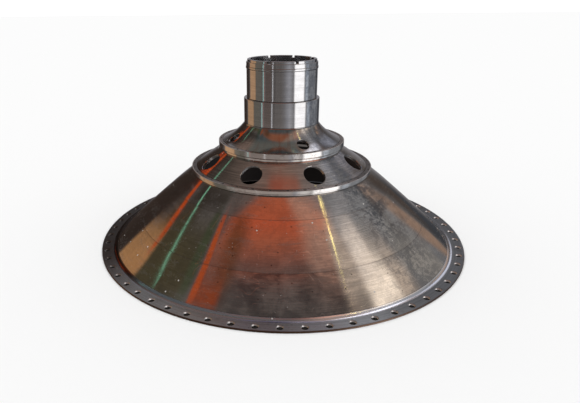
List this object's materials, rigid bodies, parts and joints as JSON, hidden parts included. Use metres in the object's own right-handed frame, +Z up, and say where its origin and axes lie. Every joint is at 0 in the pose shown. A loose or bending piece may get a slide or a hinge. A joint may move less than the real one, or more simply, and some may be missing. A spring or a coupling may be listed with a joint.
{
  "type": "conical flanged rotor hub",
  "caption": "Hollow conical rotor hub with a bolted base flange, vented middle cone, two balance ledges and a slotted tubular neck.",
  "frame": {"origin": "on the axis of revolution, in the plane of the base flange's underside", "axes": "+Z up along the axis, from the flange to the neck; two vents lie 22.5 degrees either side of -Y"},
  "size_m": [0.6172, 0.6172, 0.3002],
  "materials": {
    "base_rim": "dull turned metal",
    "main_cone": "fine turned, semi-bright, stained",
    "middle_cone": "fine turned, semi-bright",
    "ledge": "bright turned",
    "neck": "polished ground journal"
  },
  "bodies": {
    "root": {"base_flange": "base_rim", "main_cone_lower": "main_cone", "main_cone_middle": "main_cone", "main_cone_upper": "main_cone", "lower_balance_ledge": "ledge", "middle_cone": "middle_cone", "upper_balance_ledge": "ledge", "flare_cone": "middle_cone", "neck_collar": "neck", "neck_tube": "neck", "slotted_end_ring": "neck"}
  },
  "joints": []
}
